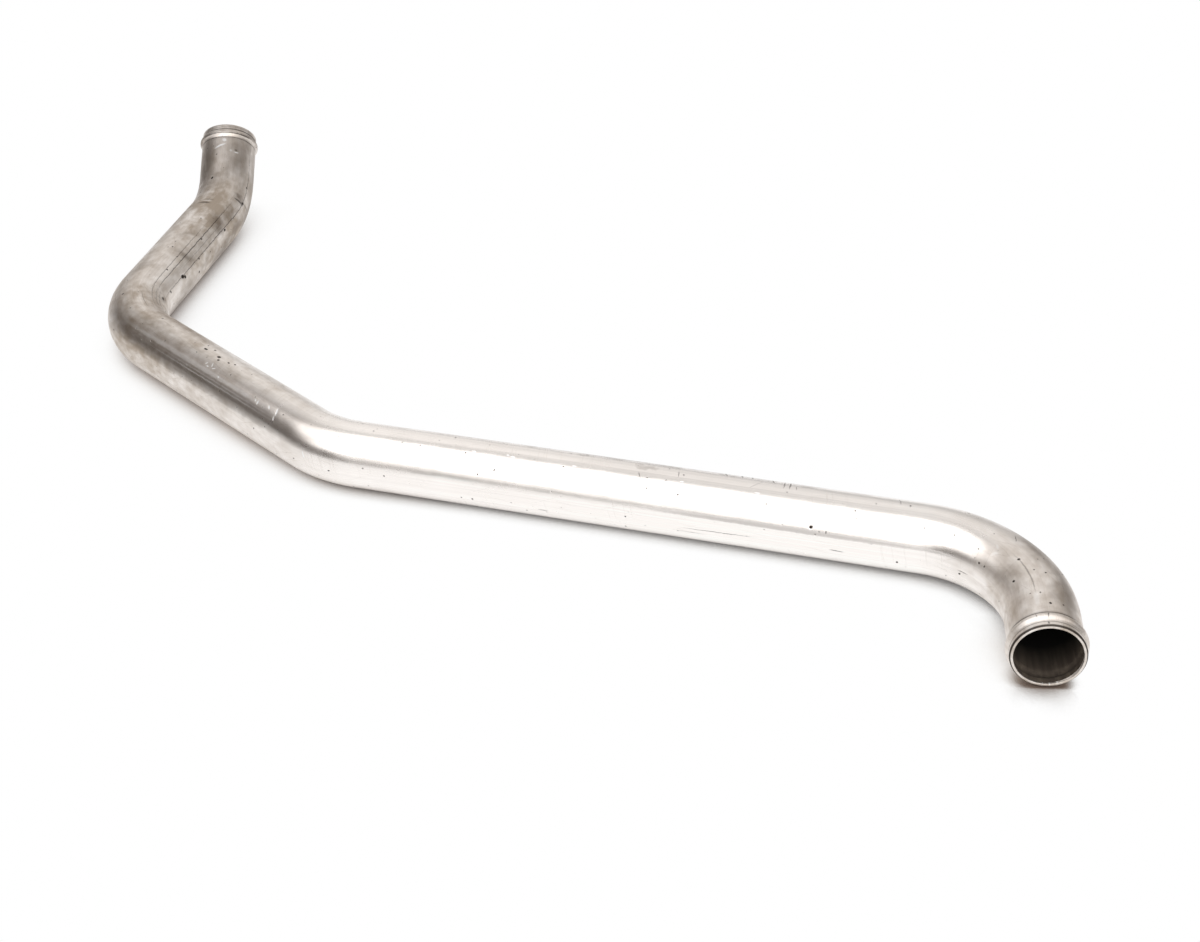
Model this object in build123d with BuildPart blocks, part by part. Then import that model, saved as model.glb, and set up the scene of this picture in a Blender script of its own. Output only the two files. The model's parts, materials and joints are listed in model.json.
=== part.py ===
from build123d import *
import math
import os

# One-piece aluminium coolant pipe: a round drawn tube, mandrel bent four times, with a hose
# bead rolled near each end. Millimetres and degrees throughout, +Z up. The flat part of the
# route is drawn on the XY plane with the long run along X, and the finished pipe is then
# laid on the floor as it comes to rest, with the origin below the middle of its box.

# Tube stock
outside_diameter = 60.0
wall = 3.0

# Route of the centre line, from the front mouth to the rear mouth
bend_radius = 110.0
front_stub = 46.0
front_bend = 79.0
long_run = 509.0
joggle_bend = 30.0
middle_run = 255.0
return_bend = 56.0
short_run = 184.0
rear_bend = 36.0
rear_bend_roll = 72.0
rear_stub = 57.0

# Rolled hose beads, and the turned edge of each mouth
bead_height = 2.4
bead_width = 11.0
bead_setback = 11.5
edge_chamfer = 1.2

outer_radius = outside_diameter / 2
bore_radius = outer_radius - wall


def straight_on(edge, length):
    """Carry the route on from the end of an edge, straight along its tangent."""
    return Line(edge @ 1, edge @ 1 + (edge % 1) * length)


def bead_outline(start, direction):
    """Draw one side of a bead: a crest arc between two foot arcs, all tangent."""
    flank_angle = 2 * math.degrees(math.atan(2 * bead_height / bead_width))
    arc_radius = bead_width / (4 * math.sin(math.radians(flank_angle)))
    rise = direction * flank_angle
    first_foot = JernArc(start, (direction, 0), arc_radius, rise)
    crest = JernArc(first_foot @ 1, first_foot % 1, arc_radius, -2 * rise)
    return JernArc(crest @ 1, crest % 1, arc_radius, rise)


def hose_end(mouth, inward, length):
    """Make one straight end of the tube, from its mouth to where the nearest bend starts.

    The bead is pushed out from inside the tube, so the wall keeps its thickness there and
    the bore has a groove under the bead.
    """
    bead_start = bead_setback - bead_width / 2
    bead_end = bead_setback + bead_width / 2
    across = Plane(origin=mouth, z_dir=inward)
    with BuildPart() as end:
        with BuildSketch(Plane(origin=mouth, x_dir=inward, z_dir=across.x_dir)):
            with BuildLine():
                outside = bead_outline((bead_start, outer_radius), 1)
                Polyline(
                    outside @ 1,
                    (length, outer_radius),
                    (length, bore_radius),
                    (bead_end, bore_radius),
                )
                inside = bead_outline((bead_end, bore_radius), -1)
                Polyline(
                    inside @ 1,
                    (0, bore_radius),
                    (0, outer_radius - edge_chamfer),
                    (edge_chamfer, outer_radius),
                    (bead_start, outer_radius),
                )
            make_face()
        revolve(axis=Axis(mouth, inward))
    return end


# Flat part of the route: the front bend turns left, the next two turn right
with BuildLine() as flat_route:
    front_line = PolarLine((0, 0), front_stub, 180 - front_bend)
    front_arc = JernArc(front_line @ 1, front_line % 1, bend_radius, front_bend)
    long_line = straight_on(front_arc, long_run)
    joggle_arc = JernArc(long_line @ 1, long_line % 1, bend_radius, -joggle_bend)
    middle_line = straight_on(joggle_arc, middle_run)
    return_arc = JernArc(middle_line @ 1, middle_line % 1, bend_radius, -return_bend)
    short_line = straight_on(return_arc, short_run)

# The rear bend turns left again, in a plane rolled about the short run so that it climbs
roll_axis = Axis(short_line @ 1, short_line % 1)
rear_plane = Plane(
    origin=short_line @ 1,
    x_dir=short_line % 1,
    z_dir=Vector(0, 0, 1).rotate(roll_axis, rear_bend_roll),
)
with BuildLine(rear_plane) as rear_route:
    rear_arc = JernArc(short_line @ 1, short_line % 1, bend_radius, rear_bend)
    rear_line = straight_on(rear_arc, rear_stub)

# Bent tube between the two hose ends
with BuildPart() as bent_pipe:
    with BuildLine() as bent_route:
        add([front_arc, long_line, joggle_arc, middle_line, return_arc, short_line, rear_arc])
    with BuildSketch(Plane(origin=front_arc @ 0, z_dir=front_arc % 0)):
        Circle(outer_radius)
        Circle(bore_radius, mode=Mode.SUBTRACT)
    sweep(path=bent_route.wire())
    add(hose_end(front_line @ 0, front_line % 0, front_stub).part)
    add(hose_end(rear_line @ 1, -(rear_line % 1), rear_stub).part)

# The pipe comes to rest on the underside of its short run and on the front bead, which
# stands proud of the tube and so lifts the front end a little.
rest_axis = Axis(short_line @ 0, short_line % 0)
sideways = (short_line % 0).cross(Vector(0, 0, 1))
front_bead = front_line @ 0 + (front_line % 0) * bead_setback
bead_reach = (front_bead - short_line @ 0).dot(sideways)
rest_tilt = math.degrees(math.asin(bead_height / bead_reach))
tilted_pipe = bent_pipe.part.rotate(rest_axis, -rest_tilt)
box = tilted_pipe.bounding_box()

with BuildPart() as water_pipe:
    add(Pos(-box.center().X, -box.center().Y, -box.min.Z) * tilted_pipe)

water_pipe.part.label = "water_pipe"
os.makedirs("parts", exist_ok=True)
export_step(water_pipe.part, "parts/water_pipe.step")
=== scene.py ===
"""Studio scene of a bent aluminium coolant pipe, one length of drawn tube with two hose beads.

The pipe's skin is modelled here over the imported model's frame: the same route and section, with
the bend ripples, dents and knocks of a used pipe, and a procedural drawn-aluminium finish.
A name that ends in _mm holds millimetres, and other lengths are metres. Angles are degrees.
Places on the pipe are given as on the straight tube before it was bent: the distance along the
centre line from the front mouth, and the clock angle round the tube, 0 at the top and 90 on the
right-hand side of someone who looks along the tube from the front mouth.
"""

import json
import logging
import math
from dataclasses import dataclass, field
from enum import Enum
from typing import Any, Iterable

import bpy
import numpy as np
from mathutils import Matrix, Vector

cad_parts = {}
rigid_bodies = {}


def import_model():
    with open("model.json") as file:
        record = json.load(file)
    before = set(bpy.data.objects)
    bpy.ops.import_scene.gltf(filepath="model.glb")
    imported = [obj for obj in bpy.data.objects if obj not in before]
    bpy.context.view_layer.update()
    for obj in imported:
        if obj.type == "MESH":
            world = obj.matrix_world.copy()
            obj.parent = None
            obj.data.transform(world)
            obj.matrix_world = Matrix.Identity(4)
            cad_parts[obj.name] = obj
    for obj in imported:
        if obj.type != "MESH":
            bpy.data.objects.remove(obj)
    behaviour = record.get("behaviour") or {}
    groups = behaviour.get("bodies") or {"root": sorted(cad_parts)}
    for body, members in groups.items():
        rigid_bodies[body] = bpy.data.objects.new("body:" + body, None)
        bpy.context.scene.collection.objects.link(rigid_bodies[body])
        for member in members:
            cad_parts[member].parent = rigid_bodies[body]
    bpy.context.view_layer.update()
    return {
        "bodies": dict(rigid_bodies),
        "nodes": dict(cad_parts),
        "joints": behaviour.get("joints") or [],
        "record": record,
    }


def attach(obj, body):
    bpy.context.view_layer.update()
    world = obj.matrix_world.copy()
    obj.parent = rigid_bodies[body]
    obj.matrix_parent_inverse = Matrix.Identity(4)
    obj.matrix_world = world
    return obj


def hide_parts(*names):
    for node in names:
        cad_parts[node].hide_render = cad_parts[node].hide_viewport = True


log = logging.getLogger("water_pipe")

MM = 0.001
UP = Vector((0.0, 0.0, 1.0))
TUBE_RADIUS_MM = 30.0

# How many finer layers a noise has.
SOFT_DETAIL = 2.0
FINE_DETAIL = 3.0

Socket = bpy.types.NodeSocket
Tree = bpy.types.NodeTree


def linear_from_hex(colour: str) -> tuple[float, float, float, float]:
    """Turn an sRGB colour to the linear values that shaders use.

    Args:
        colour: the colour as "#rrggbb".

    Returns:
        Linear red, green, blue and an alpha of 1.
    """
    parts = [int(colour[i : i + 2], 16) / 255 for i in (1, 3, 5)]
    red, green, blue = (
        part / 12.92 if part <= 0.04045 else ((part + 0.055) / 1.055) ** 2.4 for part in parts
    )
    return red, green, blue, 1.0


def add_node(
    tree: Tree,
    kind: str,
    inputs: dict[Any, Any] | None = None,
    **settings: Any,
) -> bpy.types.Node:
    """Add a node to a shader tree, with its settings and links.

    Args:
        tree: the node tree.
        kind: the node's type name in Blender.
        inputs: a value or another node's output for each input, by its name or number.
        settings: the node's own properties.

    Returns:
        The new node.
    """
    node = tree.nodes.new(kind)
    for name, value in settings.items():
        setattr(node, name, value)
    for name, value in (inputs or {}).items():
        if isinstance(value, Socket):
            tree.links.new(value, node.inputs[name])
        else:
            node.inputs[name].default_value = value
    return node


def smooth_step(low: float, high: float, value: np.ndarray) -> np.ndarray:
    """Rise smoothly from 0 at low to 1 at high; low may be the larger."""
    share = np.clip((value - low) / (high - low), 0.0, 1.0)
    return share * share * (3.0 - 2.0 * share)


def angle_from(centre: float, clock: np.ndarray) -> np.ndarray:
    """Signed angle from one clock angle to others, the short way round."""
    return (clock - centre + 180) % 360 - 180


class Turn(Enum):
    """The way a bend goes, for someone who follows the pipe from its front mouth."""

    LEFT = 1
    RIGHT = -1


@dataclass(frozen=True)
class Bend:
    """One bend of the route, with the roll of its plane out of the flat one."""

    angle: float
    turn: Turn
    roll: float = 0.0


@dataclass(frozen=True)
class Stretch:
    """A straight run or a bend of the centre line, with the tube's frame at its start.

    The frame's columns are the directions along, up and to the side of the tube.
    """

    start_mm: float
    length_mm: float
    origin: Vector
    frame: Matrix
    axis: Vector | None = None
    radius_mm: float = 0.0

    def at(self, along_mm: float) -> tuple[Vector, Matrix]:
        """Find the tube's centre and frame at a place on the stretch.

        Args:
            along_mm: the distance along the whole centre line.

        Returns:
            The centre in millimetres, and the frame.
        """
        travel = along_mm - self.start_mm
        if self.axis is None:
            return self.origin + self.frame.col[0] * travel, self.frame
        turn = Matrix.Rotation(travel / self.radius_mm, 3, self.axis)
        inward = self.axis.cross(self.frame.col[0]) * self.radius_mm
        return self.origin + inward - turn @ inward, turn @ self.frame


@dataclass
class Route:
    """The centre line of the pipe, laid as it comes to rest on the floor.

    It lies on the underside of its short run, given as the number of that run from 0.
    """

    bend_radius_mm: float = 110.0
    runs_mm: tuple[float, ...] = (46.0, 509.0, 255.0, 184.0, 57.0)
    bends: tuple[Bend, ...] = (
        Bend(79.0, Turn.LEFT),
        Bend(30.0, Turn.RIGHT),
        Bend(56.0, Turn.RIGHT),
        Bend(36.0, Turn.LEFT, roll=72.0),
    )
    short_run: int = 3
    stretches: list[Stretch] = field(default_factory=list)

    def lay_down(self, bead_height_mm: float, bead_setback_mm: float) -> None:
        """Walk the route flat, then tip it until the front bead meets the floor.

        Args:
            bead_height_mm: how far the front bead stands proud of the tube.
            bead_setback_mm: distance of the bead's crest from the front mouth.
        """
        heading = math.radians(180 - self.bends[0].angle)
        along = Vector((math.cos(heading), math.sin(heading), 0.0))
        flat = self.walk(Vector((0, 0, 0)), Matrix((along, UP, along.cross(UP))).transposed())
        run = flat[2 * self.short_run]
        short_along = run.frame.col[0]
        reach = (along * bead_setback_mm - run.origin).dot(short_along.cross(UP))
        tip = Matrix.Rotation(-math.asin(bead_height_mm / reach), 3, short_along)
        front = run.origin + tip @ (flat[0].origin - run.origin)
        self.stretches = self.walk(front, tip @ flat[0].frame)

    def walk(self, origin: Vector, frame: Matrix) -> list[Stretch]:
        """List the stretches of the route, each begun where the one before ends.

        Args:
            origin: the middle of the front mouth, in millimetres.
            frame: the tube's frame there.

        Returns:
            The straight runs, with the bends between them.
        """
        found: list[Stretch] = []
        start = 0.0
        for number, length in enumerate(self.runs_mm):
            found.append(Stretch(start, length, origin, frame))
            start += length
            origin, frame = found[-1].at(start)
            if number < len(self.bends):
                bend = self.bends[number]
                roll = Matrix.Rotation(math.radians(bend.roll), 3, frame.col[0])
                axis = (roll @ frame.col[1]) * bend.turn.value
                length = self.bend_radius_mm * math.radians(bend.angle)
                found.append(Stretch(start, length, origin, frame, axis, self.bend_radius_mm))
                start += length
                origin, frame = found[-1].at(start)
        return found

    @property
    def length_mm(self) -> float:
        """Length of the whole centre line."""
        return self.stretches[-1].start_mm + self.stretches[-1].length_mm

    def at(self, along_mm: float) -> tuple[Vector, Matrix]:
        """Give the centre and the frame of the tube at a distance along the centre line."""
        reached = [stretch for stretch in self.stretches if stretch.start_mm <= along_mm]
        return reached[-1].at(along_mm)

    def shift_to(self, mount: dict[str, Any], depth_mm: float) -> None:
        """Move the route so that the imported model's front mouth mount lies on it.

        Args:
            mount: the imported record's mount, with its place in metres.
            depth_mm: how deep in the mouth the mount lies.
        """
        shift = Vector(mount["pos_m"]) / MM - self.at(depth_mm)[0]
        first = self.stretches[0]
        self.stretches = self.walk(first.origin + shift, first.frame)


@dataclass(frozen=True)
class HoseEnd:
    """A hose end: a turned mouth and a rolled bead behind it.

    The corners of the mouth are broken, each over at most a set share of a side. The mouth's
    outline starts in the bore, a little behind the end face.
    """

    bead_height_mm: float = 2.4
    bead_width_mm: float = 11.0
    bead_setback_mm: float = 11.5
    edge_chamfer_mm: float = 1.2
    edge_break_mm: float = 0.3
    most_of_a_side: float = 0.45
    outline_start_mm: float = 1.0

    def rise(self, from_mouth_mm: np.ndarray) -> np.ndarray:
        """Measure the bead, which is two foot arcs and a crest arc, all tangent.

        Args:
            from_mouth_mm: distances from the mouth.

        Returns:
            How far the surface stands proud of the tube at each of them.
        """
        flank = 2 * math.atan(2 * self.bead_height_mm / self.bead_width_mm)
        arc = self.bead_width_mm / (4 * math.sin(flank))
        from_crest = np.abs(from_mouth_mm - self.bead_setback_mm)
        from_foot = np.maximum(self.bead_width_mm / 2 - from_crest, 0.0)
        crest = self.bead_height_mm - arc + np.sqrt(arc**2 - np.minimum(from_crest, arc) ** 2)
        foot = arc - np.sqrt(arc**2 - np.minimum(from_foot, arc) ** 2)
        return np.where(from_crest < self.bead_width_mm / 4, crest, foot)

    def mouth_outline(self, bore_mm: float, outer_mm: float) -> list[tuple[float, float]]:
        """Outline of the mouth from the bore, over the end face, to the outside.

        Args:
            bore_mm: radius of the bore.
            outer_mm: outside radius of the tube.

        Returns:
            Pairs of distance from the mouth and radius, with each corner softened.
        """
        corners = [
            (self.outline_start_mm, bore_mm),
            (0.0, bore_mm),
            (0.0, outer_mm - self.edge_chamfer_mm),
            (self.edge_chamfer_mm, outer_mm),
            (2 * self.edge_chamfer_mm, outer_mm),
        ]
        outline = [corners[0]]
        for before, corner, after in zip(corners, corners[1:], corners[2:]):
            ends = []
            for other in (before, after):
                reach = min(self.edge_break_mm / math.dist(corner, other), self.most_of_a_side)
                ends.append([c + (o - c) * reach for c, o in zip(corner, other)])
            for share in (0.0, 0.5, 1.0):
                weights = ((1 - share) ** 2, 2 * share * (1 - share), share**2)
                outline.append(
                    tuple(
                        weights[0] * a + weights[1] * b + weights[2] * c
                        for a, b, c in zip(ends[0], corner, ends[1])
                    )
                )
        return outline + [corners[-1]]


@dataclass(frozen=True)
class Dent:
    """A hollow, or a bulge if its depth is negative, with soft edges."""

    along_mm: float
    clock: float
    length_mm: float
    width_mm: float
    depth_mm: float
    lean: float = 0.0

    def depth(self, along_mm: np.ndarray, clock: np.ndarray, radius_mm: float) -> np.ndarray:
        """Measure the dent over a grid of places on the tube.

        Args:
            along_mm: the places' distances along the centre line.
            clock: their clock angles.
            radius_mm: the tube's outside radius.

        Returns:
            How deep the surface lies at each place, in millimetres.
        """
        x = along_mm - self.along_mm
        y = angle_from(self.clock, clock) * math.radians(radius_mm)
        lean = math.radians(self.lean)
        lengthwise = x * math.cos(lean) + y * math.sin(lean)
        across = y * math.cos(lean) - x * math.sin(lean)
        spread = (2 * lengthwise / self.length_mm) ** 2 + (2 * across / self.width_mm) ** 2
        return self.depth_mm * np.exp(-2 * spread)


@dataclass(frozen=True)
class Ripples:
    """Compression ripples along one side of a bend, which fade out at their ends and sides.

    Over a set share of their length, in its middle, they have their full height.
    """

    start_mm: float
    end_mm: float
    clock: float
    spread: float
    pitch_mm: float
    height_mm: float
    full_share: float = 0.4

    def depth(self, along_mm: np.ndarray, clock: np.ndarray, radius_mm: float) -> np.ndarray:
        """Measure the ripples over a grid of places on the tube.

        Args:
            along_mm: the places' distances along the centre line.
            clock: their clock angles.
            radius_mm: the tube's outside radius, which changes nothing here.

        Returns:
            How deep the surface lies at each place, in millimetres.
        """
        middle = (self.start_mm + self.end_mm) / 2
        half = (self.end_mm - self.start_mm) / 2
        along = smooth_step(half, half * self.full_share, np.abs(along_mm - middle))
        off = np.abs(angle_from(self.clock, clock))
        wave = np.sin(2 * math.pi * (along_mm - self.start_mm) / self.pitch_mm)
        return self.height_mm * along * smooth_step(self.spread, 0.0, off) * wave


@dataclass(frozen=True)
class Waviness:
    """The faint unevenness of tube that was drawn, bent and used: many shallow waves added up."""

    waves: int = 36
    seed: int = 5
    shortest_mm: float = 13.0
    longest_mm: float = 70.0
    most_round: int = 20
    height_mm: float = 0.022

    def depth(self, along_mm: np.ndarray, clock: np.ndarray, radius_mm: float) -> np.ndarray:
        """Measure the waves over a grid of places on the tube.

        Args:
            along_mm: the places' distances along the centre line.
            clock: their clock angles.
            radius_mm: the tube's outside radius, which changes nothing here.

        Returns:
            How deep the surface lies at each place, in millimetres.
        """
        chance = np.random.default_rng(self.seed)
        total = np.zeros_like(along_mm)
        for _ in range(self.waves):
            turns = along_mm / chance.uniform(self.shortest_mm, self.longest_mm)
            phase = chance.uniform(0.0, 2 * math.pi)
            around = chance.integers(-self.most_round, self.most_round + 1)
            total += np.sin(2 * math.pi * turns + np.radians(clock) * around + phase)
        return self.height_mm * total / math.sqrt(self.waves)


DENTS: tuple[Dent | Ripples | Waviness, ...] = (
    Waviness(),
    Ripples(98.0, 146.0, -92.0, 46.0, 8.5, 0.05),
    Ripples(706.0, 736.0, -92.0, 60.0, 15.0, 0.03),
    Ripples(1286.0, 1318.0, 0.0, 34.0, 9.0, 0.13),
    Dent(0.0, 125.0, 7.0, 62.0, -0.9),
    Dent(36.0, -17.0, 20.0, 9.0, 0.12),
    Dent(288.0, -64.0, 5.0, 4.0, 0.25),
    Dent(788.0, -34.0, 9.0, 4.0, 0.12, lean=60.0),
    Dent(903.0, 0.0, 6.0, 4.0, 0.15),
    Dent(1158.0, 70.0, 9.0, 7.0, 0.35),
    Dent(1186.0, 45.0, 16.0, 12.0, 0.15),
    Dent(1336.0, 62.0, 14.0, 9.0, 0.12, lean=80.0),
    Dent(1403.0, 30.0, 8.0, 7.0, 0.12),
    Dent(1413.0, 8.0, 9.0, 12.0, 0.1),
)


@dataclass(frozen=True)
class Ageing:
    """How far the metal has aged along the pipe, from 0, new, to 1, as stops along it."""

    places_mm: tuple[float, ...]
    shares: tuple[float, ...]

    def over(self, along_mm: np.ndarray) -> np.ndarray:
        """Share over a grid of distances along the centre line."""
        return np.interp(along_mm, self.places_mm, self.shares)


DARKENING = Ageing(
    (0, 3, 46, 100, 135, 198, 450, 700, 764, 880, 1019, 1073, 1127, 1220, 1290, 1340, 1400),
    (0.6, 0.45, 0.55, 0.45, 0.25, 0.0, 0.02, 0.06, 0.3, 0.5, 0.72, 0.7, 0.48, 0.6, 0.9, 0.65, 0.45),
)
HAZE = Ageing(
    (0, 46, 100, 135, 198, 450, 700, 764, 880, 1019, 1073, 1290, 1340),
    (0.8, 1.0, 0.85, 0.2, 0.0, 0.05, 0.1, 0.2, 0.35, 0.5, 0.9, 0.9, 1.0),
)


@dataclass(frozen=True)
class ShadeRing:
    """A dark ring painted round the tube, on all of it or near one clock angle: painted shade in
    the feet of both beads and on the front mouth's chamfer, and painted dark gaps between the
    highlights on the rear bead.

    The width and the spread are those of its outermost shade, and each edge is soft.
    """

    along_mm: float
    width_mm: float
    strength: float = 1.0
    clock: float = 0.0
    spread: float = 360.0

    def over(self, along_mm: np.ndarray, clock: np.ndarray) -> np.ndarray:
        """Measure the painted shade over a grid of places on the tube.

        Args:
            along_mm: the places' distances along the centre line.
            clock: their clock angles.

        Returns:
            The share of painted shade at each place.
        """
        off = np.abs(angle_from(self.clock, clock))
        across = smooth_step(self.width_mm / 2, self.width_mm / 5, np.abs(along_mm - self.along_mm))
        return self.strength * across * smooth_step(self.spread / 2, self.spread / 3, off)


# Painted shade: dark rings at the feet of both beads and on the front mouth's chamfer, and painted
# dark gaps between the highlights on the rear bead.
SHADE_RINGS = (
    ShadeRing(0.8, 2.4, 0.95),
    ShadeRing(17.3, 1.8, 0.75, clock=-20.0, spread=220.0),
    ShadeRing(5.6, 1.4, 0.5),
    ShadeRing(1430.4, 1.6, 0.9, clock=50.0, spread=180.0),
    ShadeRing(1419.6, 1.6, 0.6),
    ShadeRing(1424.2, 1.3, 0.75, clock=10.0, spread=120.0),
    ShadeRing(1433.4, 0.8, 0.4, clock=10.0, spread=120.0),
)


# A mark has its full strength up to its core and none beyond its edge, in shares of its reach.
SOFT_CORE = 0.1
SHARP_CORE = 0.55
MARK_EDGE = 1.3


class MarkKind(Enum):
    """What a mark is, which settles how it looks."""

    PIT = "pit"
    SCRATCH_AND_SHADE = "scratch_and_shade"
    STAIN_AND_SHADE = "stain_and_shade"
    NICK = "nick"


@dataclass(frozen=True)
class Mark:
    """One mark of wear or of painted dark reflection, an ellipse on the unrolled tube with a soft
    edge.
    """

    kind: MarkKind
    along_mm: float
    clock: float
    length_mm: float
    width_mm: float
    lean: float = 0.0
    strength: float = 1.0

    def cover(self, tree: Tree, turned: Socket) -> Socket:
        """Add the nodes that give the mark's strength at a place on the unrolled tube.

        Args:
            tree: the material's nodes.
            turned: the place in millimetres, turned back by the mark's lean.

        Returns:
            The mark's strength, 0 outside it.
        """
        centre = Vector((self.along_mm, math.radians(self.clock) * TUBE_RADIUS_MM))
        centre.rotate(Matrix.Rotation(-math.radians(self.lean), 2))
        scale = (2 / self.length_mm, 2 / self.width_mm, 0.0)
        local = add_node(
            tree,
            "ShaderNodeVectorMath",
            {0: turned, 1: scale, 2: (-centre.x * scale[0], -centre.y * scale[1], 0.0)},
            operation="MULTIPLY_ADD",
        ).outputs[0]
        away = add_node(tree, "ShaderNodeVectorMath", {0: local}, operation="LENGTH").outputs["Value"]
        core = SOFT_CORE if self.kind is MarkKind.STAIN_AND_SHADE else SHARP_CORE
        return add_node(
            tree,
            "ShaderNodeMapRange",
            {"Value": away, "From Min": MARK_EDGE, "From Max": core, "To Max": self.strength},
            interpolation_type="SMOOTHSTEP",
            clamp=False,
        ).outputs[0]


def marks(kind: MarkKind, *rows: tuple[float, ...]) -> tuple[Mark, ...]:
    """Make marks of one kind, each from its place along, clock angle, length, width and so on."""
    return tuple(Mark(kind, *row) for row in rows)


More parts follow.
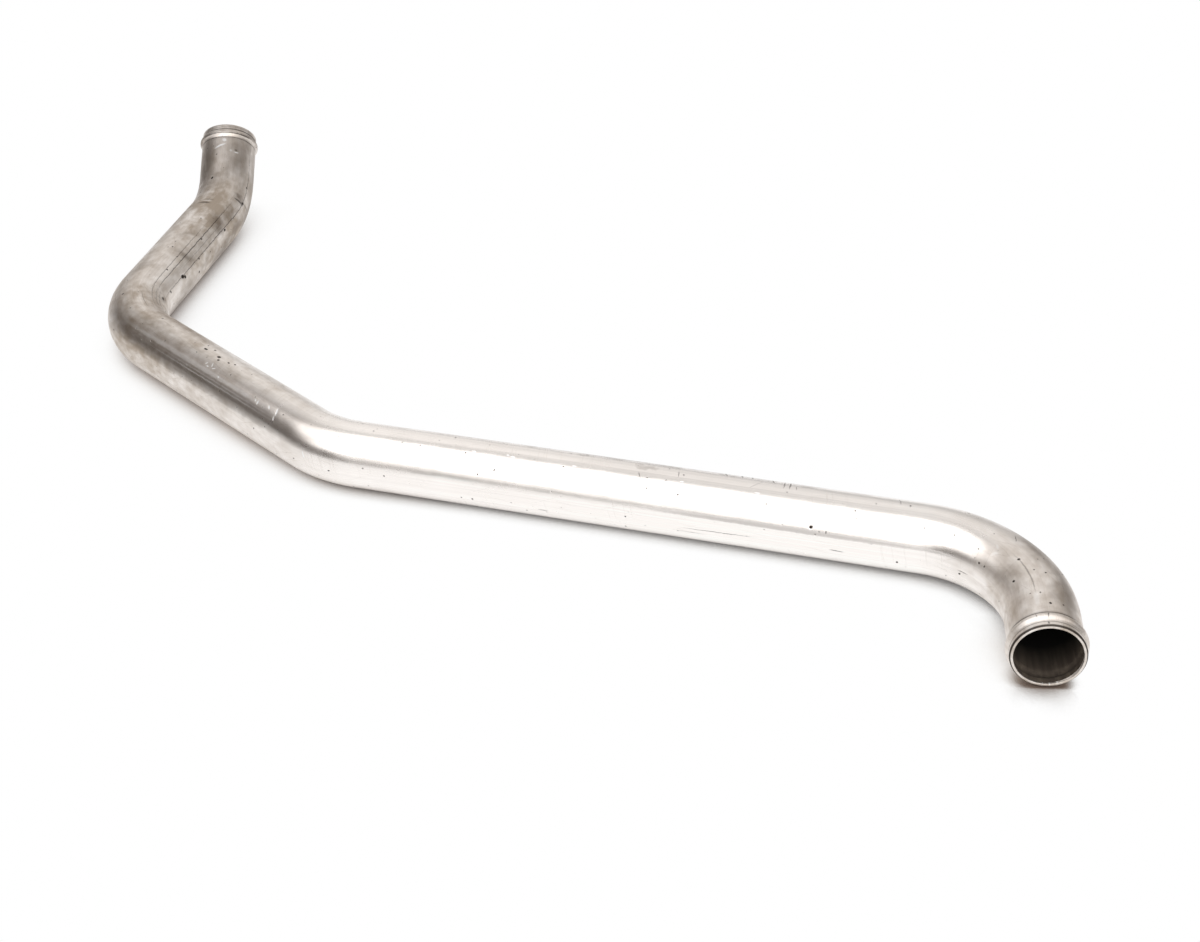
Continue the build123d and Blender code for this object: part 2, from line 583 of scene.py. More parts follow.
WEAR_AND_PAINTED_SHADE: tuple[Mark, ...] = (
    marks(
        MarkKind.PIT,
        (29, 2, 2.6, 2.2),
        (43, -10, 2.0, 1.6, 0, 0.7),
        (69, 8, 1.8, 1.6),
        (72, -43, 3.4, 2.6),
        (87, 10, 1.4, 1.4, 0, 0.6),
        (93, -17, 2.8, 2.4),
        (117, -62, 2.0, 2.0),
        (125, -62, 2.6, 2.2),
        (146, -96, 2.4, 2.0),
        (214, -105, 1.8, 2.2),
        (275, -70, 1.6, 3.0, 0, 0.8),
        (281, -70, 2.2, 1.8, 30, 0.6),
        (288, -64, 3.2, 3.2),
        (449, -95, 1.6, 1.4),
        (516, -69, 1.5, 1.3, 0, 0.7),
        (589, -109, 1.8, 1.6),
        (642, -23, 1.5, 1.3, 0, 0.7),
        (671, -87, 1.5, 1.4),
        (691, -79, 1.6, 1.4, 0, 0.8),
        (721, -95, 1.8, 1.5),
        (753, -95, 1.6, 1.4),
        (880, 4, 2.6, 2.0),
        (887, 0, 3.0, 1.8),
        (899, -7, 3.2, 2.4),
        (903, 0, 4.6, 3.2),
        (917, 10, 3.0, 2.0, 0, 0.8),
        (925, 0, 5.2, 2.4),
        (1008, 10, 2.4, 2.0, 0, 0.7),
        (1053, 62, 3.8, 3.2),
        (1082, -23, 3.4, 2.2, 50, 0.8),
        (1092, 62, 8.0, 3.4, 0, 0.8),
        (1124, 72, 3.4, 2.6),
        (1145, 37, 2.4, 2.0),
        (1158, 70, 7.0, 4.4, 20),
        (1162, 74, 4.0, 4.0),
        (1174, 35, 2.0, 1.8, 0, 0.8),
        (1187, 14, 2.8, 1.8, 0, 0.8),
        (1195, 95, 3.4, 2.6),
        (1202, 71, 2.6, 2.0),
        (1227, 48, 3.0, 2.2),
        (1275, 73, 4.4, 3.0),
        (1335, 70, 4.0, 3.4),
        (1360, -15, 5.4, 2.6, 10),
        (1360, 68, 2.8, 2.4),
        (1397, -10, 2.0, 1.8, 0, 0.7),
        (1403.5, 31, 2.0, 3.0, 0, 0.6),
    )
    + marks(
        MarkKind.SCRATCH_AND_SHADE,
        (12.5, -4, 8.0, 1.0, 6, 0.8),
        (12.5, -21, 7.0, 0.8, -8, 0.6),
        (4.0, -5, 4.0, 1.4, 0, 0.8),
        (73, -17, 54, 1.3, 0, 0.5),
        (75, 46, 8.4, 0.8, 54, 0.7),
        (117, 11, 9.4, 0.8, 42, 0.8),
        (142, -90, 14, 0.7, 0, 0.8),
        (219, 11, 10, 1.0, 72, 0.8),
        (265, -100, 12, 1.2, 2, 0.8),
        (307, 6, 6.0, 0.7, 78, 0.7),
        (313, 13, 13, 1.3, 86, 0.9),
        (318, 13, 13, 1.1, 86, 0.8),
        (328, 19, 9.0, 1.1, 70, 0.8),
        (340, 2, 20, 1.2, 128, 0.25),
        (347, 24, 8.0, 1.4, 74, 0.9),
        (356, 24, 9.0, 1.4, 74, 0.9),
        (367, -99.5, 60, 0.7, -1.5, 0.9),
        (370, 22, 11, 1.2, 66, 0.8),
        (392, -109, 26, 0.6, 0, 0.6),
        (409, -2, 9.0, 0.7, 80, 0.7),
        (442, -18, 7.0, 1.0, 60, 0.7),
        (524, -110, 9.0, 0.8, 0, 0.8),
        (1062, 15, 48, 0.9, 0, 0.45),
        (1066, 52, 74, 0.9, 0, 0.6),
        (1078, 44, 60, 0.8, 0, 0.5),
        (1148, 35, 226, 0.9, 0, 0.55),
        (1208, 46, 226, 1.1, 0, 0.9),
        (1225, 58, 120, 0.8, 0, 0.4),
        (1256, 69, 330, 1.1, 0, 0.8),
        (1332, 59, 14, 3.6, 80, 0.85),
        (1334, 69, 9.0, 4.4, 10, 0.85),
        (1337, 84, 15, 3.0, 80, 0.4),
        (1296, -2, 14, 4.2, 80, 0.7),
        (1305, 2, 12, 2.6, 84, 0.4),
        # Painted dark reflections: a line between the long run's two highlights, and a line along one
        # edge of the middle run's dark band.
        (300, -73, 250, 4.0, 0, 0.4),
        (890, -67, 280, 7.0, 0, 0.22),
    )
    + marks(
        MarkKind.STAIN_AND_SHADE,
        # Painted dark reflection: a darker band down the right-hand side of the front stub and the
        # front bend.
        (52, 34, 104, 28, 4, 0.85),
        (106, 32, 80, 28, 6, 0.8),
        (150, 27, 60, 16, 4, 0.35),
        # Painted dark reflection along the long run's upper edge.
        (450, 28, 520, 12, 0, 0.75),
        # Painted dark reflection along one edge of the dark band on the middle run and the third
        # bend.
        (910, -63, 330, 12, 0, 0.35),
        (1060, -63, 80, 20, 0, 0.6),
        # Painted dark reflection down the left-hand side of the rear run.
        (1380, -57, 120, 26, 0, 1.0),
        (1395, 40, 60, 26, 0, 0.6),
        (450, -3, 560, 36, 0, 0.14),
        # Painted dark reflection down the right-hand side of the rear run.
        (1385, 92, 100, 26, 0, 0.85),
        (1426, -58, 14, 44, 0, 1.0),
        (1428, 78, 14, 40, 0, 1.0),
        # Green-grey stain low on the right-hand side of the rear bend, which also paints the darker
        # reflection of the floor's shade there.
        (1330, 98, 60, 24, 0, 0.7),
        (88, -45, 44, 17, -30, 0.25),
        (120, -52, 26, 12, 40, 0.25),
        # Green-grey stains low on the short run's right-hand side, which also paint the darker
        # reflection of the floor's shade there.
        (1165, 104, 90, 26, 4, 0.55),
        (1215, 92, 60, 16, -10, 0.45),
        (1262, 108, 80, 28, 0, 0.95),
        (1305, 96, 50, 20, -14, 0.9),
        # Painted shade for the reflection of the floor's shade, low on the right of the short run and
        # the rear bend.
        (1150, 120, 90, 20, 0, 0.8),
        (1338, 103, 70, 26, 0, 0.9),
        (438, 8, 26, 9, 10, 0.5),
        (1004, -6, 60, 12, 0, 0.3),
        (1092, 60, 24, 8, 0, 0.7),
        (1135, -14, 40, 18, 30, 0.4),
        (1186, 44, 26, 17, 70, 0.8),
        (1222, 22, 36, 12, 30, 0.35),
        (1270, 52, 24, 30, 60, 0.8),
        (1256, 100, 40, 22, -30, 0.4),
        (1300, 60, 30, 16, 20, 0.4),
        (1338, 58, 12, 20, -10, 0.9),
        (1352, 85, 26, 12, 0, 0.5),
        (1378, 15, 40, 14, 0, 0.35),
        (1395, -30, 60, 24, 0, 0.6),
        (1412, 66, 22, 26, 0, 0.4),
    )
    + marks(
        MarkKind.NICK,
        (0.8, 172, 1.6, 1.8),
        (0.9, -176, 1.4, 1.2),
        (0.7, 160, 1.4, 1.6, 0, 0.8),
        (36, -17, 17, 5.0, 0, 0.3),
        (116, -36, 7.0, 3.4, -40, 0.35),
        (119, -24, 6.0, 2.0, 30, 0.3),
        (338, -20.5, 5.0, 2.0, 0, 0.8),
        (404, -20, 4.0, 1.8),
        (500, -20.5, 3.6, 1.8),
        (556, -20, 4.4, 1.8),
        (561, -17, 2.6, 1.6),
        (592, -20, 4.0, 1.8, 20),
        (743, -78, 7.0, 1.6, 70, 0.8),
        (787, -46, 5.0, 1.4, 70),
        (788, -34, 8.0, 2.0, 64),
        (800, -34, 5.0, 1.8, 40),
        (816, -37, 5.0, 1.6, 80),
        (820, -36, 3.0, 1.4, 70),
        (880, -36, 3.2, 1.6),
        (893, -27, 4.4, 1.4, -30),
        (898, -22, 6.0, 1.2, 60),
        (902, -29, 3.6, 1.4),
        (906, -25, 3.4, 1.2, -50),
        (930, -37, 230, 5.0, 0, 0.3),
        (890, -51.5, 200, 1.0, 0, 0.5),
        (880, -46, 180, 0.8, 0, 0.35),
        (1400.5, 32, 1.6, 6.0, 0, 1.0),
        (1402, 20, 3.0, 3.0, 0, 0.5),
        (1408, -4, 2.6, 14.0, -24, 1.0),
        (1415.5, 5, 4.0, 5.0, 0, 0.9),
        (1301, 0, 2.4, 12.0, -6, 0.35),
    )
)


@dataclass
class PipeSkin:
    """The whole surface of the pipe, inside and out, as one closed mesh.

    The painted shade rings stay off the end faces, and on each chamfer they reach only over a
    set share of its height from the outside.
    """

    route: Route
    hose_end: HoseEnd = field(default_factory=HoseEnd)
    outer_mm: float = TUBE_RADIUS_MM
    wall_mm: float = 3.0
    step_mm: float = 2.1
    fine_step_mm: float = 0.55
    bore_step_mm: float = 11.0
    past_bead_mm: float = 1.0
    columns: int = 104
    shaded_share: float = 0.9

    @property
    def bore_mm(self) -> float:
        """Radius of the bore."""
        return self.outer_mm - self.wall_mm

    def outward(self, first_mm: float, step_mm: float) -> np.ndarray:
        """Space rings along the tube, finely in the hose ends.

        Args:
            first_mm: the distance from the mouth that the rings start after.
            step_mm: the step between the hose ends.

        Returns:
            The rings' distances along the centre line.
        """
        length, end = self.route.length_mm, self.hose_end
        beaded = end.bead_setback_mm + end.bead_width_mm / 2 + self.past_bead_mm

        def spaced(low: float, high: float, step: float) -> np.ndarray:
            """Even places from low to just before high."""
            return np.linspace(low, high, max(int(round((high - low) / step)), 1) + 1)[:-1]

        near = spaced(first_mm, beaded, self.fine_step_mm)[1:]
        middle = spaced(beaded, length - beaded, step_mm)
        return np.concatenate([near, middle, [length - beaded], length - near[::-1]])

    def rings(self) -> list[tuple[float, float, bool]]:
        """List the rings of the surface in one closed round, over the outside and back inside.

        Returns:
            For each ring its distance along the centre line, its radius and whether it is bore.
        """
        length = self.route.length_mm
        mouth = self.hose_end.mouth_outline(self.bore_mm, self.outer_mm)

        def raised(
            places: np.ndarray, radius_mm: float, in_bore: bool
        ) -> list[tuple[float, float, bool]]:
            """Rings of one radius, larger where a bead is."""
            rises = self.hose_end.rise(np.minimum(places, length - places))
            return [(float(at), radius_mm + float(up), in_bore) for at, up in zip(places, rises)]

        outside = self.outward(mouth[-1][0], self.step_mm)
        inside = self.outward(mouth[0][0], self.bore_step_mm)[::-1]
        return (
            [(at, radius, False) for at, radius in mouth]
            + raised(outside, self.outer_mm, False)
            + [(length - at, radius, False) for at, radius in reversed(mouth)]
            + raised(inside, self.bore_mm, True)
        )

    def points(
        self, along: np.ndarray, clock: np.ndarray, radius: np.ndarray, bore: np.ndarray
    ) -> np.ndarray:
        """Place the surface's points on the bent tube, with its dents.

        Args:
            along: each ring's distance along the centre line.
            clock: each column's clock angle.
            radius: each ring's radius.
            bore: which rings are bore, where no dent shows.

        Returns:
            The points by ring and column, in millimetres.
        """
        grid_along, grid_clock = np.meshgrid(along, clock, indexing="ij")
        depth = sum(dent.depth(grid_along, grid_clock, self.outer_mm) for dent in DENTS)
        depth[bore] = 0.0
        stations = [self.route.at(float(at)) for at in along]
        centres = np.array([centre for centre, _ in stations])[:, None]
        up = np.array([frame.col[1] for _, frame in stations])[:, None]
        side = np.array([frame.col[2] for _, frame in stations])[:, None]
        turn = np.radians(clock)[:, None]
        out = np.cos(turn) * up + np.sin(turn) * side
        return centres + out * (radius[:, None] - depth)[..., None]

    def ageing_and_shade(
        self, along: np.ndarray, clock: np.ndarray, radius: np.ndarray
    ) -> dict[str, np.ndarray]:
        """Work out the pipe's age and its painted shade rings, ring by ring, for the finish.

        Args:
            along: each ring's distance along the centre line.
            clock: each column's clock angle.
            radius: each ring's radius.

        Returns:
            The shares of darkening, haze and painted shade, by ring and column.
        """
        grid_along, grid_clock = np.meshgrid(along, clock, indexing="ij")
        shade_rings = np.max([shade_ring.over(grid_along, grid_clock) for shade_ring in SHADE_RINGS], axis=0)
        shade_stop_mm = self.outer_mm - self.shaded_share * self.hose_end.edge_chamfer_mm
        shade_rings[radius < shade_stop_mm] = 0.0
        return {
            "darkening": DARKENING.over(grid_along),
            "haze": HAZE.over(grid_along),
            "shade_rings": shade_rings,
        }

    def build(self, name: str) -> bpy.types.Object:
        """Make the mesh, with each point's place on the unbent tube, its age and its painted shade.

        Args:
            name: the piece's name.

        Returns:
            The new object, linked to the scene.
        """
        along, radius, bore = (np.array(values) for values in zip(*self.rings()))
        clock = np.linspace(-180.0, 180.0, self.columns + 1)

        # Each face's corners run as seen from outside. In the mesh the first column follows the
        # last one, but on the unrolled tube it doesn't.
        ring_of, column_of = np.meshgrid(
            np.arange(len(along)), np.arange(self.columns), indexing="ij"
        )
        next_ring = (ring_of + 1) % len(along)
        ring = np.stack([ring_of, ring_of, next_ring, next_ring], -1)
        column = np.stack([column_of, column_of + 1, column_of + 1, column_of], -1)
        faces = (ring * self.columns + column % self.columns).reshape(-1, 4)

        mesh = bpy.data.meshes.new(name)
        points = self.points(along, clock[:-1], radius, bore).reshape(-1, 3)
        mesh.from_pydata(points * MM, [], faces.tolist())
        unrolled = np.stack([along[ring], np.radians(clock[column]) * self.outer_mm], -1)
        wrap = mesh.uv_layers.new(name="unrolled").data
        wrap.foreach_set("uv", unrolled.reshape(-1).astype(np.float32))

        turn = np.radians(clock[:-1])
        unbent = np.stack(
            [
                along[:, None] + 0 * turn,
                radius[:, None] * np.cos(turn),
                radius[:, None] * np.sin(turn),
            ],
            -1,
        )
        place = mesh.attributes.new("unbent_place", "FLOAT_VECTOR", "POINT").data
        place.foreach_set("vector", unbent.reshape(-1).astype(np.float32))
        for layer, share in self.ageing_and_shade(along, clock[:-1], radius).items():
            values = mesh.attributes.new(layer, "FLOAT", "POINT").data
            values.foreach_set("value", share.reshape(-1).astype(np.float32))
        in_bore = (bore[ring_of] & bore[next_ring]).reshape(-1)
        mesh.polygons.foreach_set("material_index", in_bore.astype(np.int32))
        mesh.shade_smooth()
        mesh.update()
        pipe = bpy.data.objects.new(name, mesh)
        bpy.context.scene.collection.objects.link(pipe)
        return pipe


def sum_up(tree: Tree, first: Socket | float, *terms: tuple[Socket, float]) -> Socket | float:
    """Add to a first value each further value times its weight.

    Args:
        tree: the material's nodes.
        first: the first value.
        terms: the further values, each with its weight.

    Returns:
        The sum.
    """
    total = first
    for value, weight in terms:
        total = add_node(
            tree, "ShaderNodeMath", {0: value, 1: weight, 2: total}, operation="MULTIPLY_ADD"
        ).outputs[0]
    return total


def largest(tree: Tree, first: Socket | float, *others: Socket) -> Socket | float:
    """Take the largest of some values.

    Args:
        tree: the material's nodes.
        first: the first value.
        others: the other values.

    Returns:
        The largest value.
    """
    most = first
    for other in others:
        most = add_node(tree, "ShaderNodeMath", {0: most, 1: other}, operation="MAXIMUM").outputs[0]
    return most


def grain(
    tree: Tree, place: Socket, size_mm: tuple[float, float, float], detail: float = FINE_DETAIL
) -> bpy.types.Node:
    """Add noise whose features have a real size.

    Args:
        tree: the material's nodes.
        place: a place in millimetres.
        size_mm: the features' size along, up and across, or along and round on the unrolled tube.
        detail: how many finer layers the noise has.

    Returns:
        The noise node, with its Fac and Color outputs.
    """
    scale = tuple(1 / size for size in size_mm)
    scaled = add_node(tree, "ShaderNodeVectorMath", {0: place, 1: scale}, operation="MULTIPLY")
    return add_node(
        tree, "ShaderNodeTexNoise", {"Vector": scaled.outputs[0], "Scale": 1.0, "Detail": detail}
    )


def coated(tree: Tree, base: Any, *coats: tuple[Socket, str]) -> Any:
    """Lay colours over a first one, each by its own share.

    Args:
        tree: the material's nodes.
        base: the first colour, as "#rrggbb", as linear values or from another node.
        coats: the further colours as "#rrggbb", each after its share.

    Returns:
        The colour that is seen.
    """
    seen = linear_from_hex(base) if isinstance(base, str) else base
    for share, coat in coats:
        seen = add_node(
            tree, "ShaderNodeMix", {0: share, 6: seen, 7: linear_from_hex(coat)}, data_type="RGBA"
        ).outputs[2]
    return seen


@dataclass(frozen=True)
class DrawnAluminium:
    """Bare drawn aluminium tube, mill finish, dulled by handling and dried coolant.

    The eye sees a satin metal with a streaky border to each highlight, because drawing leaves
    faint lines along the tube. Where the oxide is thin the metal is pale and sharp, and elsewhere
    it is a cloudy, warm grey. Pits and scratches are dark, and fresh nicks catch the light.
    Painted shade darkens the beads' feet and the front chamfer, and painted dark reflections lie in
    bands and lines along the tube.
    """

    clean: str = "#FFFAF6"
    dull: str = "#B4A799"
    dirt_and_shade: str = "#302822"
    stained_and_shaded: str = "#776A5E"
    bare: str = "#FFFFFF"
    clean_roughness: float = 0.24
    dull_roughness: float = 0.48
    dirt_and_shade_roughness: float = 0.6
    bare_roughness: float = 0.5
    cloud_mm: tuple[float, float, float] = (46.0, 26.0, 26.0)
    blotch_mm: tuple[float, float, float] = (11.0, 7.0, 7.0)
    # Real draw lines are about 0.1 mm wide; these are as coarse as they need to be to show.
    draw_line_mm: tuple[float, float, float] = (240.0, 1.5, 1.5)
    draw_line_depth_mm: float = 0.010
    blotch_depth_mm: float = 0.035
    pit_depth_mm: float = 0.25
    nick_height_mm: float = -0.05
    hairline_height_mm: float = -0.002
    # The pitch and the reach of the wobble in the outlines of marks, of stains and of painted dark
    # reflection bands.
    mark_wobble_mm: tuple[float, float] = (4.0, 1.6)
    stain_and_shade_wobble_mm: tuple[float, float] = (15.0, 20.0)
    speck_spacing_mm: float = 15.0
    speck_mm: float = 1.1
    speck_rarity: float = 3.0
    speck_strength: float = 1.4
    hairline_mm: tuple[float, float] = (55.0, 0.8)
    hairline_leans: tuple[float, ...] = (7.0, -24.0, 78.0)
    hairline_chance: tuple[float, float] = (0.93, 0.97)
    hairline_edge: tuple[float, float] = (0.3, 0.12)
    # How strongly each thing shows in the dullness, the colour and the haze.
    unevenness: float = 1.3
    least_clouding: float = 0.06
    clouding: float = 1.3
    hairline_dulling: float = 0.25
    scratch_and_shade_cover: float = 0.8
    stain_and_shade_cover: float = 0.75
    plain_shade: float = 0.86
    draw_line_shade: float = 0.24
    blotch_shade: float = 0.06
    uneven_haze: float = 0.25
    hairline_haze: float = 0.2

    def wobbled(self, tree: Tree, place: Socket, pitch_mm: float, reach_mm: float) -> Socket:
        """Shift places a little to and fro, so that what is drawn there has an uneven outline.

        Args:
            tree: the material's nodes.
            place: a place on the unrolled tube.
            pitch_mm: the size of the wobble along the outline.
            reach_mm: how far it goes to and fro.

        Returns:
            The shifted place.
        """
        sway = grain(tree, place, (pitch_mm, pitch_mm, pitch_mm), SOFT_DETAIL).outputs["Color"]
        centred = add_node(
            tree, "ShaderNodeVectorMath", {0: sway, 1: (0.5, 0.5, 0.5)}, operation="SUBTRACT"
        ).outputs[0]
        return add_node(
            tree,
            "ShaderNodeVectorMath",
            {0: centred, 1: (reach_mm, reach_mm, 0.0), 2: place},
            operation="MULTIPLY_ADD",
        ).outputs[0]

    def marked(self, tree: Tree, place: Socket, kind: MarkKind) -> Socket | float:
        """Cover all the marks of one kind, those of one lean together.

        Args:
            tree: the material's nodes.
            place: a place on the unrolled tube.
            kind: the kind of mark.

        Returns:
            The strongest mark there, 0 where there is none.
        """
        cover: Socket | float = 0.0
        wanted = [mark for mark in WEAR_AND_PAINTED_SHADE if mark.kind is kind]
        for lean in sorted({mark.lean for mark in wanted}):
            turned = add_node(
                tree,
                "ShaderNodeVectorRotate",
                {"Vector": place, "Angle": -math.radians(lean)},
                rotation_type="Z_AXIS",
            ).outputs[0]
            for mark in wanted:
                if mark.lean == lean:
                    cover = largest(tree, cover, mark.cover(tree, turned))
        return cover

    def specks(self, tree: Tree, place: Socket) -> Socket:
        """Cover small dark specks, scattered over the tube, no two of one size.

        Args:
            tree: the material's nodes.
            place: a place on the unrolled tube.

        Returns:
            How dark a speck is there, 0 where there is none.
        """
        spacing = 1 / self.speck_spacing_mm
        scaled = add_node(
            tree, "ShaderNodeVectorMath", {0: place, 1: (spacing, spacing, 0.0)}, operation="MULTIPLY"
        ).outputs[0]
        cells = add_node(
            tree, "ShaderNodeTexVoronoi", {"Vector": scaled, "Scale": 1.0}, voronoi_dimensions="2D"
        ).outputs
        chance = add_node(tree, "ShaderNodeSeparateColor", {0: cells["Color"]}).outputs[0]
        size = add_node(
            tree, "ShaderNodeMath", {0: chance, 1: self.speck_rarity}, operation="POWER"
        ).outputs[0]
        return add_node(
            tree,
            "ShaderNodeMapRange",
            {
                "Value": cells["Distance"],
                "From Min": sum_up(tree, 0.0, (size, self.speck_mm * spacing)),
                "From Max": 0.0,
                "To Max": self.speck_strength,
            },
        ).outputs[0]

    def hairlines(self, tree: Tree, place: Socket) -> Socket | float:
        """Cover thin scratches that lie at a few leans, most of them nearly along the tube.

        Args:
            tree: the material's nodes.
            place: a place on the unrolled tube.

        Returns:
            The strongest scratch there, 0 where there is none.
        """
        cover: Socket | float = 0.0
        rarest, commonest = self.hairline_chance
        rim, core = self.hairline_edge
        for lean in self.hairline_leans:
            local = add_node(
                tree,
                "ShaderNodeMapping",
                {
                    "Vector": place,
                    "Rotation": (0.0, 0.0, math.radians(lean)),
                    "Scale": (*self.hairline_mm, 1.0),
                },
                vector_type="TEXTURE",
            ).outputs[0]
            cells = add_node(
                tree, "ShaderNodeTexVoronoi", {"Vector": local, "Scale": 1.0}, voronoi_dimensions="2D"
            ).outputs
            chance = add_node(tree, "ShaderNodeSeparateColor", {0: cells["Color"]}).outputs[0]
            chosen = add_node(
                tree,
                "ShaderNodeMapRange",
                {"Value": chance, "From Min": rarest, "From Max": commonest},
            ).outputs[0]
            line = add_node(
                tree,
                "ShaderNodeMapRange",
                {"Value": cells["Distance"], "From Min": rim, "From Max": core, "To Max": chosen},
            ).outputs[0]
            cover = largest(tree, cover, line)
        return cover

    def build(self) -> bpy.types.Material:
        """Make the material: satin metal with draw lines, clouds, stains, pits, scratches and painted
        shade.

        Returns:
            The new material.
        """
        material = bpy.data.materials.new("drawn_aluminium_mill_finish")
        material.use_nodes = True
        tree = material.node_tree
        tree.nodes.clear()
        place = add_node(tree, "ShaderNodeAttribute", attribute_name="unbent_place").outputs["Vector"]
        darkening, haze, shade_rings = (
            add_node(tree, "ShaderNodeAttribute", attribute_name=layer).outputs["Fac"]
            for layer in ("darkening", "haze", "shade_rings")
        )
        unrolled = add_node(tree, "ShaderNodeUVMap", uv_map="unrolled").outputs[0]
        mark_place = self.wobbled(tree, unrolled, *self.mark_wobble_mm)
        stain_and_shade_place = self.wobbled(tree, unrolled, *self.stain_and_shade_wobble_mm)

        cloud = grain(tree, place, self.cloud_mm, SOFT_DETAIL).outputs["Fac"]
        blotch = grain(tree, place, self.blotch_mm).outputs["Fac"]
        draw = grain(tree, place, self.draw_line_mm).outputs["Fac"]
        pit = self.marked(tree, mark_place, MarkKind.PIT)
        scratch_and_shade = self.marked(tree, mark_place, MarkKind.SCRATCH_AND_SHADE)
        nick = self.marked(tree, mark_place, MarkKind.NICK)
        stain_and_shade = self.marked(tree, stain_and_shade_place, MarkKind.STAIN_AND_SHADE)
        speck = self.specks(tree, mark_place)
        hairline = self.hairlines(tree, mark_place)

        patchy = sum_up(
            tree, -self.unevenness, (cloud, self.unevenness), (blotch, self.unevenness)
        )
        clouded = sum_up(tree, self.least_clouding, (darkening, self.clouding))
        uneven = add_node(
            tree, "ShaderNodeMath", {0: patchy, 1: clouded, 2: darkening}, operation="MULTIPLY_ADD"
        ).outputs[0]
        dulled = add_node(
            tree,
            "ShaderNodeMapRange",
            {"Value": sum_up(tree, uneven, (hairline, self.hairline_dulling))},
        ).outputs[0]
        hazed = sum_up(tree, haze, (patchy, self.uneven_haze), (hairline, self.hairline_haze))
        scratched_and_shaded = sum_up(tree, 0.0, (scratch_and_shade, self.scratch_and_shade_cover))
        # Pits, specks and scratches are dark, and so are the painted shade rings and the painted dark
        # reflection lines among the scratches.
        dark = largest(tree, pit, shade_rings, scratched_and_shaded, speck)

        # Stains darken the colour, and so do the painted dark reflection bands among them.
        soiled_and_shaded = sum_up(tree, 0.0, (stain_and_shade, self.stain_and_shade_cover))
        colour = coated(tree, self.clean, (dulled, self.dull), (soiled_and_shaded, self.stained_and_shaded))
        shade = sum_up(
            tree, self.plain_shade, (draw, self.draw_line_shade), (blotch, self.blotch_shade)
        )
        colour = add_node(
            tree, "ShaderNodeVectorMath", {0: colour, 3: shade}, operation="SCALE"
        ).outputs[0]
        colour = coated(tree, colour, (dark, self.dirt_and_shade), (nick, self.bare))

        roughness = add_node(
            tree,
            "ShaderNodeMapRange",
            {"Value": hazed, "To Min": self.clean_roughness, "To Max": self.dull_roughness},
        ).outputs[0]
        for cover, level in ((dark, self.dirt_and_shade_roughness), (nick, self.bare_roughness)):
            roughness = add_node(
                tree, "ShaderNodeMix", {0: cover, 2: roughness, 3: level}, data_type="FLOAT"
            ).outputs[0]
        height = sum_up(
            tree,
            0.0,
            (draw, self.draw_line_depth_mm),
            (blotch, self.blotch_depth_mm),
            (dark, -self.pit_depth_mm),
            (nick, self.nick_height_mm),
            (hairline, self.hairline_height_mm),
        )
        bump = add_node(tree, "ShaderNodeBump", {"Height": height, "Distance": MM}).outputs[0]
        shader = add_node(
            tree,
            "ShaderNodeBsdfPrincipled",
            {"Base Color": colour, "Roughness": roughness, "Metallic": 1.0, "Normal": bump},
        )
        add_node(tree, "ShaderNodeOutputMaterial", {"Surface": shader.outputs[0]})
        return material


@dataclass(frozen=True)
class StainedAndShadedBore:
    """The bore's bare aluminium under a film of oxide and dried coolant.

    The eye sees a dark, dull brown near each mouth, with faint paler runs along the tube, and
    nearly black further in, where shade is painted into the colour.
    """

    pipe_length_mm: float
    film: str = "#484039"
    thin_film: str = "#62594E"
    # Painted shade: the bore darkens to near black further from each mouth.
    deep_bore_shade: str = "#1B1917"
    deep_from_mm: float = 18.0
    deep_to_mm: float = 46.0
    run_mm: tuple[float, float, float] = (60.0, 5.0, 5.0)
    run_height_mm: float = 0.1
    thin_between: tuple[float, float] = (0.4, 0.75)
    roughness: float = 0.85
    bare_metal: float = 0.1
    sheen: float = 0.15

    def build(self) -> bpy.types.Material:
        """Make the material: a dull film over metal, thinner along the runs, with painted shade
        further in.

        Returns:
            The new material.
        """
        material = bpy.data.materials.new("oxidised_bore_and_painted_shade")
        material.use_nodes = True
        tree = material.node_tree
        tree.nodes.clear()
        place = add_node(tree, "ShaderNodeAttribute", attribute_name="unbent_place").outputs["Vector"]
        runs = grain(tree, place, self.run_mm).outputs["Fac"]
        thick, thin = self.thin_between
        thinned = add_node(
            tree, "ShaderNodeMapRange", {"Value": runs, "From Min": thick, "From Max": thin}
        ).outputs[0]
        along = add_node(tree, "ShaderNodeSeparateXYZ", {0: place}).outputs[0]
        from_mouth = add_node(
            tree, "ShaderNodeMath", {0: along, 1: self.pipe_length_mm / 2}, operation="PINGPONG"
        ).outputs[0]
        deep = add_node(
            tree,
            "ShaderNodeMapRange",
            {"Value": from_mouth, "From Min": self.deep_from_mm, "From Max": self.deep_to_mm},
        ).outputs[0]
        colour = coated(tree, self.film, (thinned, self.thin_film), (deep, self.deep_bore_shade))
        bump = add_node(
            tree, "ShaderNodeBump", {"Height": runs, "Distance": self.run_height_mm * MM}
        ).outputs[0]
        shader = add_node(
            tree,
            "ShaderNodeBsdfPrincipled",
            {
                "Base Color": colour,
                "Roughness": self.roughness,
                "Metallic": self.bare_metal,
                "Specular IOR Level": self.sheen,
                "Normal": bump,
            },
        )
        add_node(tree, "ShaderNodeOutputMaterial", {"Surface": shader.outputs[0]})
        return material


@dataclass(frozen=True)
class WallPatch:
    """A paler or darker part of the studio's walls, round, with a soft edge.

    Azimuth 0 is along +Y and 90 along +X; strength is added to the walls' own.
    """

    azimuth: float
    elevation: float
    width: float
    strength: float

    def direction(self) -> Vector:
        """Find where the patch is.

        Returns:
            The unit vector from the pipe to the middle of the patch.
        """
        azimuth, elevation = math.radians(self.azimuth), math.radians(self.elevation)
        level = math.cos(elevation)
        return Vector((math.sin(azimuth) * level, math.cos(azimuth) * level, math.sin(elevation)))


